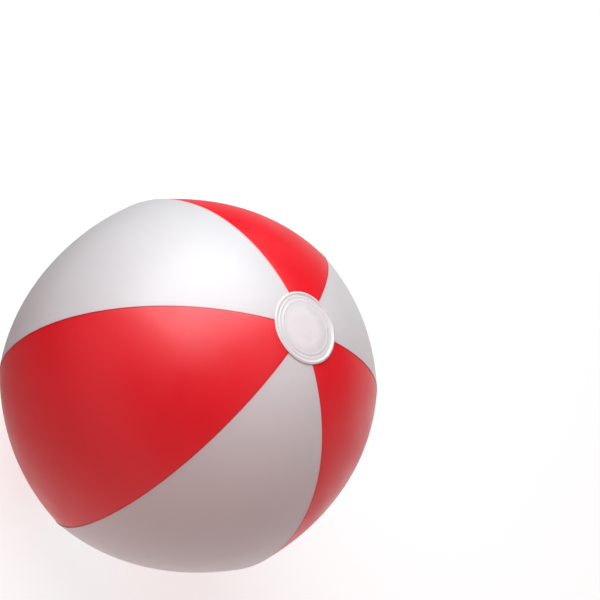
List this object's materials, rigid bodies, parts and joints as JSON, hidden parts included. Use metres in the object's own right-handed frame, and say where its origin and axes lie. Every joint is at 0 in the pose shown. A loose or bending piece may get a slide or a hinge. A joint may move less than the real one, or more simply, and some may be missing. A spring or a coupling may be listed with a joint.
{
  "type": "inflatable beach ball",
  "caption": "Inflated beach ball of red and white film panels with a round milky film disc over each end and a push-in valve.",
  "frame": {"origin": "the ball's centre", "axes": "+Z from the ball's centre through the middle of the top end disc; +Y out through the valve; +X to the right of someone who faces the red front panel"},
  "size_m": [0.2906, 0.2816, 0.2804],
  "materials": {
    "red_film": "satin soft vinyl film, bright red",
    "white_film": "satin soft vinyl film, white",
    "milky_film": "milky, slightly see-through vinyl film with weld rings",
    "clear_vinyl": "clear moulded soft vinyl"
  },
  "bodies": {
    "ball": {"red_panel_front": "red_film", "red_panel_back_right": "red_film", "red_panel_back_left": "red_film", "white_panel_front_right": "white_film", "white_panel_front_left": "white_film", "white_panel_back": "white_film", "top_end_disc": "milky_film", "bottom_end_disc": "milky_film", "valve_flange": "clear_vinyl", "valve_cup": "clear_vinyl"},
    "valve": {"valve_stem": "clear_vinyl"},
    "stopper": {"stopper": "clear_vinyl", "stopper_strap": "clear_vinyl"},
    "flap": {"check_flap": "clear_vinyl"}
  },
  "joints": [
    {"name": "valve_slide", "type": "slide", "parent": "ball", "child": "valve", "axis": [0, 1, 0], "range_m": [0, 0.024]},
    {"name": "stopper_hinge", "type": "hinge", "parent": "valve", "child": "stopper", "pos_m": [0, 0.14049, 0.0083], "axis": [1, 0, 0], "range_deg": [0, 120]},
    {"name": "flap_hinge", "type": "hinge", "parent": "valve", "child": "flap", "pos_m": [0, 0.12684, 0.0042], "axis": [-1, 0, 0], "range_deg": [0, 60], "stiffness_Nm_per_rad": 0.00002}
  ]
}
